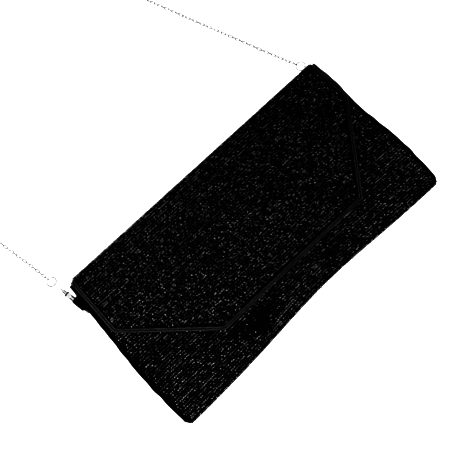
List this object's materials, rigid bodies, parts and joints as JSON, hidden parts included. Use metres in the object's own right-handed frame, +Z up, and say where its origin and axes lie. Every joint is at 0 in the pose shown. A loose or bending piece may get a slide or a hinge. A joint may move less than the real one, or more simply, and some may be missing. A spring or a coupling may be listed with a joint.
{
  "type": "clutch purse",
  "caption": "Slim rectangular clutch covered in small beads, with a wide flap, a hidden snap and a detachable fine chain with lobster clasps.",
  "frame": {"origin": "centre of the pouch's outline, on the table it lies on", "axes": "+X along the long edge to the right end, +Y towards the fold, +Z up out of the flap"},
  "size_m": [0.2646, 0.3411, 0.0173],
  "materials": {
    "beading": "glossy black seed beads in close rows on black cloth",
    "satin": "plain black satin, slightly blue sheen",
    "cord_piping": "double satin cord, twisted",
    "lining": "smooth black lining satin",
    "ribbon": "black grosgrain ribbon, ribbed",
    "board": "plain stiffening board",
    "snap_metal": "nickel-plated pressed steel",
    "magnet": "dark sintered magnet",
    "silver": "bright silver plating",
    "spring_steel": "drawn spring wire",
    "chain": "bright silver plating, darker between the links"
  },
  "bodies": {
    "pouch": {"back_panel": "beading", "front_panel": "beading", "base_panel": "beading", "left_gusset": "satin", "right_gusset": "satin", "mouth_binding": "satin", "back_board": "board", "front_board": "board", "back_lining": "lining", "front_lining": "lining", "slip_pocket": "lining", "snap_socket": "snap_metal", "snap_magnet": "magnet", "socket_washer": "snap_metal", "left_tab": "ribbon", "right_tab": "ribbon", "left_swivel_eye": "silver", "left_ring": "silver", "right_swivel_eye": "silver", "right_ring": "silver", "chain_run_left": "chain", "chain_coil": "chain", "chain_run_right": "chain"},
    "spine": {"spine_panel": "beading"},
    "flap": {"flap_panel": "beading", "flap_piping": "cord_piping", "flap_board": "board", "flap_lining": "lining", "snap_stud": "snap_metal", "stud_washer": "snap_metal"},
    "left_clasp": {"left_clasp_body": "silver", "left_clasp_rivet": "silver", "left_clasp_spring": "spring_steel"},
    "left_trigger": {"left_clasp_trigger": "silver"},
    "right_clasp": {"right_clasp_body": "silver", "right_clasp_rivet": "silver", "right_clasp_spring": "spring_steel"},
    "right_trigger": {"right_clasp_trigger": "silver"}
  },
  "joints": [
    {"name": "spine_fold", "type": "hinge", "parent": "pouch", "child": "spine", "pos_m": [0, 0.0633, 0.007], "axis": [-1, 0, 0], "range_deg": [0, 90]},
    {"name": "flap_fold", "type": "hinge", "parent": "spine", "child": "flap", "pos_m": [0, 0.0633, 0.0164], "axis": [-1, 0, 0], "range_deg": [0, 90]},
    {"name": "left_clasp_roll", "type": "hinge", "parent": "pouch", "child": "left_clasp", "pos_m": [-0.12571, 0.0474, 0.00711], "axis": [-0.1453, 0.9725, -0.1822], "range_deg": [-5, 5]},
    {"name": "left_trigger_pivot", "type": "hinge", "parent": "left_clasp", "child": "left_trigger", "pos_m": [-0.12684, 0.05497, 0.0034], "axis": [-0.989, -0.1478, 0], "range_deg": [0, 13], "stiffness_Nm_per_rad": 0.01, "springref_deg": -17.19},
    {"name": "right_clasp_roll", "type": "hinge", "parent": "pouch", "child": "right_clasp", "pos_m": [0.11765, 0.042, 0.0023], "axis": [0, 1, 0], "range_deg": [-5, 0]},
    {"name": "right_trigger_pivot", "type": "hinge", "parent": "right_clasp", "child": "right_trigger", "pos_m": [0.1154, 0.0502, 0.0023], "axis": [0, 0, 1], "range_deg": [0, 13], "stiffness_Nm_per_rad": 0.01, "springref_deg": -17.19}
  ],
  "couplings": [
    {"joint": "spine_fold", "follows": "flap_fold", "ratio": 1}
  ]
}
